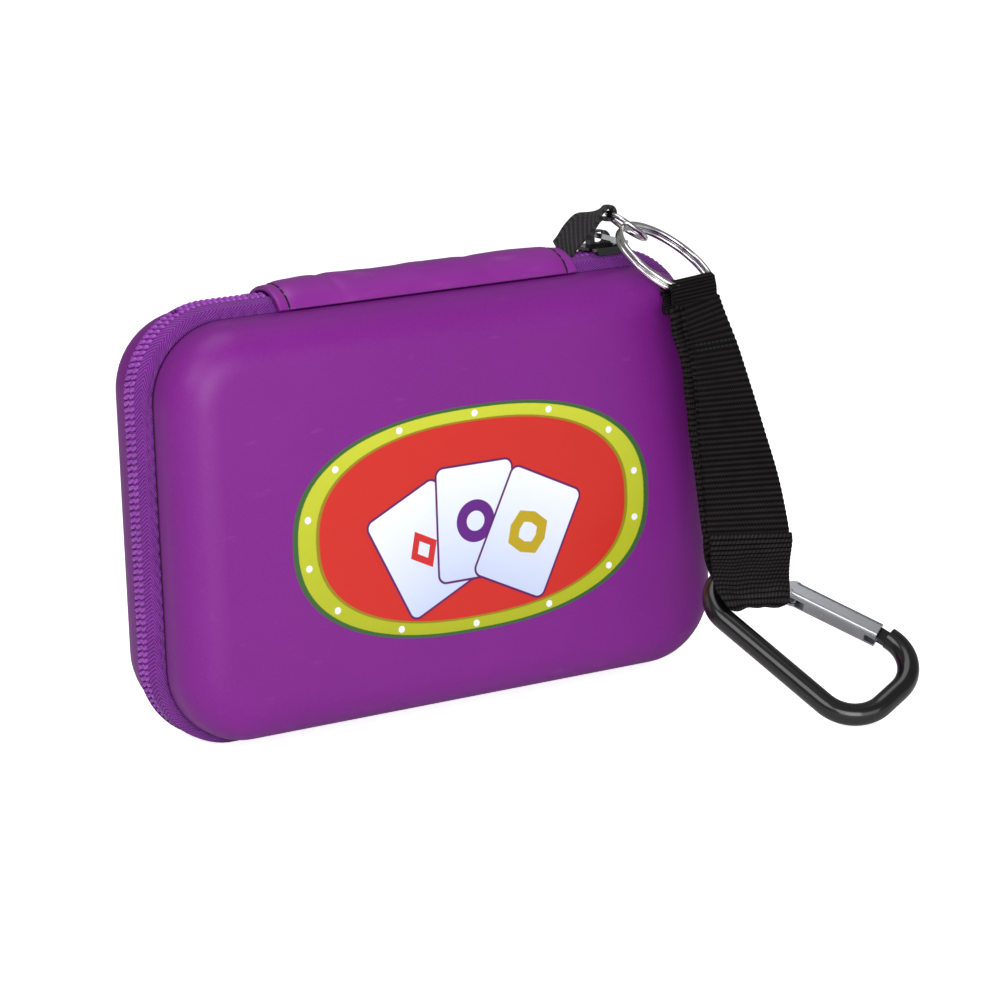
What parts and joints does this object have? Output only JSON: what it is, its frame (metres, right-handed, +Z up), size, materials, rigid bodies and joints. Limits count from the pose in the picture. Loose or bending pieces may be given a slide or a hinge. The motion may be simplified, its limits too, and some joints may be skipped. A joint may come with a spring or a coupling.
{
  "type": "travel card game in zip case",
  "caption": "Travel card game in a moulded zip case with decks inside, stored standing on its zipper edge, with a carry strap and carabiner.",
  "frame": {"origin": "on the surface the closed case stands on, midway along its width, in the middle of the zipper", "axes": "+X along the case's width towards the strap end, +Y from the decorated front to the back, +Z up"},
  "size_m": [0.1629, 0.1039, 0.1136],
  "materials": {
    "shell_purple": "satin polyurethane skin",
    "tape_purple": "woven twill",
    "coil_purple": "moulded nylon",
    "lining_black": "brushed knit",
    "strip_purple": "smooth polyurethane leather",
    "thread_black": "spun thread",
    "webbing_black": "ribbed webbing",
    "card_stock": "coated card edges, printed faces",
    "paper": "folded paper",
    "slider_black": "gloss enamel",
    "ring_steel": "polished",
    "clip_black": "gloss anodised",
    "gate_silver": "polished",
    "spring_steel": "bright"
  },
  "bodies": {
    "case": {"front_shell": "shell_purple", "front_lining": "lining_black", "front_binding": "lining_black", "front_zipper_tape": "tape_purple", "front_zipper_coil": "coil_purple", "top_band_tape": "tape_purple", "top_band_coil": "coil_purple", "zipper_stops": "coil_purple", "hinge_strip": "strip_purple", "hinge_strip_stitching": "thread_black", "spine_lining": "lining_black", "ring_tab": "webbing_black", "card_deck_left": "card_stock", "card_deck_right": "card_stock", "rules_leaflet": "paper"},
    "lid": {"back_shell": "shell_purple", "back_lining": "lining_black", "back_binding": "lining_black", "back_zipper_tape": "tape_purple", "back_zipper_coil": "coil_purple"},
    "slider": {"slider_body": "slider_black", "slider_crown": "slider_black"},
    "pull": {"slider_pull": "ring_steel"},
    "small_ring": {"link_ring": "ring_steel"},
    "large_ring": {"split_ring": "ring_steel", "strap_ring_fold": "webbing_black"},
    "strap": {"strap_webbing": "webbing_black", "strap_stitching": "thread_black"},
    "clip": {"carabiner_frame": "clip_black", "gate_pin": "spring_steel"},
    "gate": {"carabiner_gate": "gate_silver", "gate_spring": "spring_steel"}
  },
  "joints": [
    {"name": "lid_hinge", "type": "hinge", "parent": "case", "child": "lid", "pos_m": [0, 0.006, 0.103], "axis": [1, 0, 0], "range_deg": [0, 105], "deforming": ["hinge_strip", "hinge_strip_stitching", "spine_lining"]},
    {"name": "slider_run", "type": "slide", "parent": "case", "child": "slider", "axis": [1, 0, 0], "range_m": [0, 0.003]},
    {"name": "pull_swing", "type": "hinge", "parent": "slider", "child": "pull", "pos_m": [0.051, 0, 0.1064], "axis": [0, 1, 0], "range_deg": [-12, 0]},
    {"name": "small_ring_swing", "type": "hinge", "parent": "case", "child": "small_ring", "pos_m": [0.05444, 0.00082, 0.1114], "axis": [0.3471, 0.9194, -0.1851], "range_deg": [-60, 0]},
    {"name": "large_ring_swing", "type": "hinge", "parent": "small_ring", "child": "large_ring", "pos_m": [0.06073, -0.00168, 0.10774], "axis": [0.8, 0.6, 0], "range_deg": [-70, 0]},
    {"name": "strap_swing", "type": "hinge", "parent": "large_ring", "child": "strap", "pos_m": [0.06384, -0.02636, 0.09141], "axis": [0.9363, 0.2681, -0.2268], "range_deg": [-60, 12]},
    {"name": "clip_swing", "type": "hinge", "parent": "strap", "child": "clip", "pos_m": [0.06149, -0.0432, 0.03025], "axis": [0.9168, -0.3993, -0.0006], "range_deg": [-30, 35]},
    {"name": "gate_hinge", "type": "hinge", "parent": "clip", "child": "gate", "pos_m": [0.06967, -0.05251, 0.02557], "axis": [0.2648, 0.6092, -0.7475], "range_deg": [0, 24], "stiffness_Nm_per_rad": 0.02, "springref_deg": -11.46}
  ]
}
